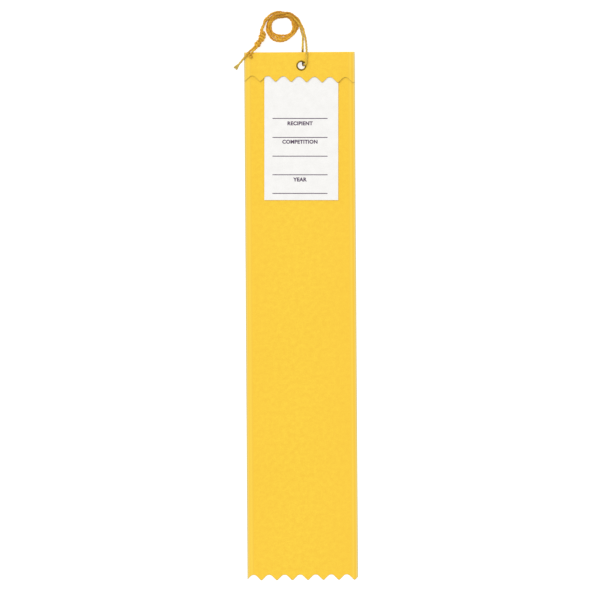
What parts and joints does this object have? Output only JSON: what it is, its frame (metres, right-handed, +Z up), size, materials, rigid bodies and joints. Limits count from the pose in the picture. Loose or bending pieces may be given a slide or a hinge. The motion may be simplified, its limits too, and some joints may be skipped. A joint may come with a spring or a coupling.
{
  "type": "award ribbon",
  "caption": "Flat satin award ribbon with a folded, eyeleted head, a printed event card under the flap, a pinked lower end and a coiled, knotted hanging cord.",
  "frame": {"origin": "on the surface that the ribbon lies on, under the middle of its outline, the cord left out", "axes": "+X across the ribbon, +Y along it towards the folded head and the cord, +Z up out of its face"},
  "size_m": [0.0456, 0.2129, 0.0031],
  "materials": {
    "satin": "satin",
    "card": "matte",
    "brass": "polished",
    "cord": "silky"
  },
  "bodies": {
    "head": {"back_panel": "satin", "top_fold": "satin", "front_flap": "satin", "eyelet": "brass"},
    "lip": {"flap_lip": "satin"},
    "card": {"event_card": "card"},
    "tail_a": {"tail_1": "satin"},
    "tail_b": {"tail_2": "satin"},
    "tail_c": {"tail_3": "satin"},
    "tail_d": {"tail_4": "satin"},
    "cord": {"cord_front": "cord", "cord_rear": "cord", "cord_coil": "cord", "cord_lead_a": "cord", "cord_lead_b": "cord", "knot_upper": "cord", "knot_lower": "cord", "cord_tail_long": "cord", "cord_tail_short": "cord", "frayed_tip": "cord"}
  },
  "joints": [
    {"name": "tail_bend_1", "type": "hinge", "parent": "head", "child": "tail_a", "pos_m": [0, 0.0417, 0.00013], "axis": [-1, 0, 0], "range_deg": [0, 40]},
    {"name": "tail_bend_2", "type": "hinge", "parent": "tail_a", "child": "tail_b", "pos_m": [0, 0.0066, 0.00013], "axis": [-1, 0, 0], "range_deg": [0, 40]},
    {"name": "tail_bend_3", "type": "hinge", "parent": "tail_b", "child": "tail_c", "pos_m": [0, -0.0285, 0.00013], "axis": [-1, 0, 0], "range_deg": [0, 40]},
    {"name": "tail_bend_4", "type": "hinge", "parent": "tail_c", "child": "tail_d", "pos_m": [0, -0.0636, 0.00013], "axis": [-1, 0, 0], "range_deg": [0, 40]},
    {"name": "flap_lift", "type": "hinge", "parent": "head", "child": "lip", "pos_m": [0, 0.0911, 0.00185], "axis": [-1, 0, 0], "range_deg": [0, 60]},
    {"name": "card_swivel", "type": "hinge", "parent": "head", "child": "card", "pos_m": [0.0007, 0.09365, 0.0014], "axis": [0, 0, 1], "range_deg": [-6, 6]},
    {"name": "cord_swing", "type": "hinge", "parent": "head", "child": "cord", "pos_m": [0.0007, 0.09365, 0.0014], "axis": [0, 0, 1], "range_deg": [-20, 3]}
  ]
}
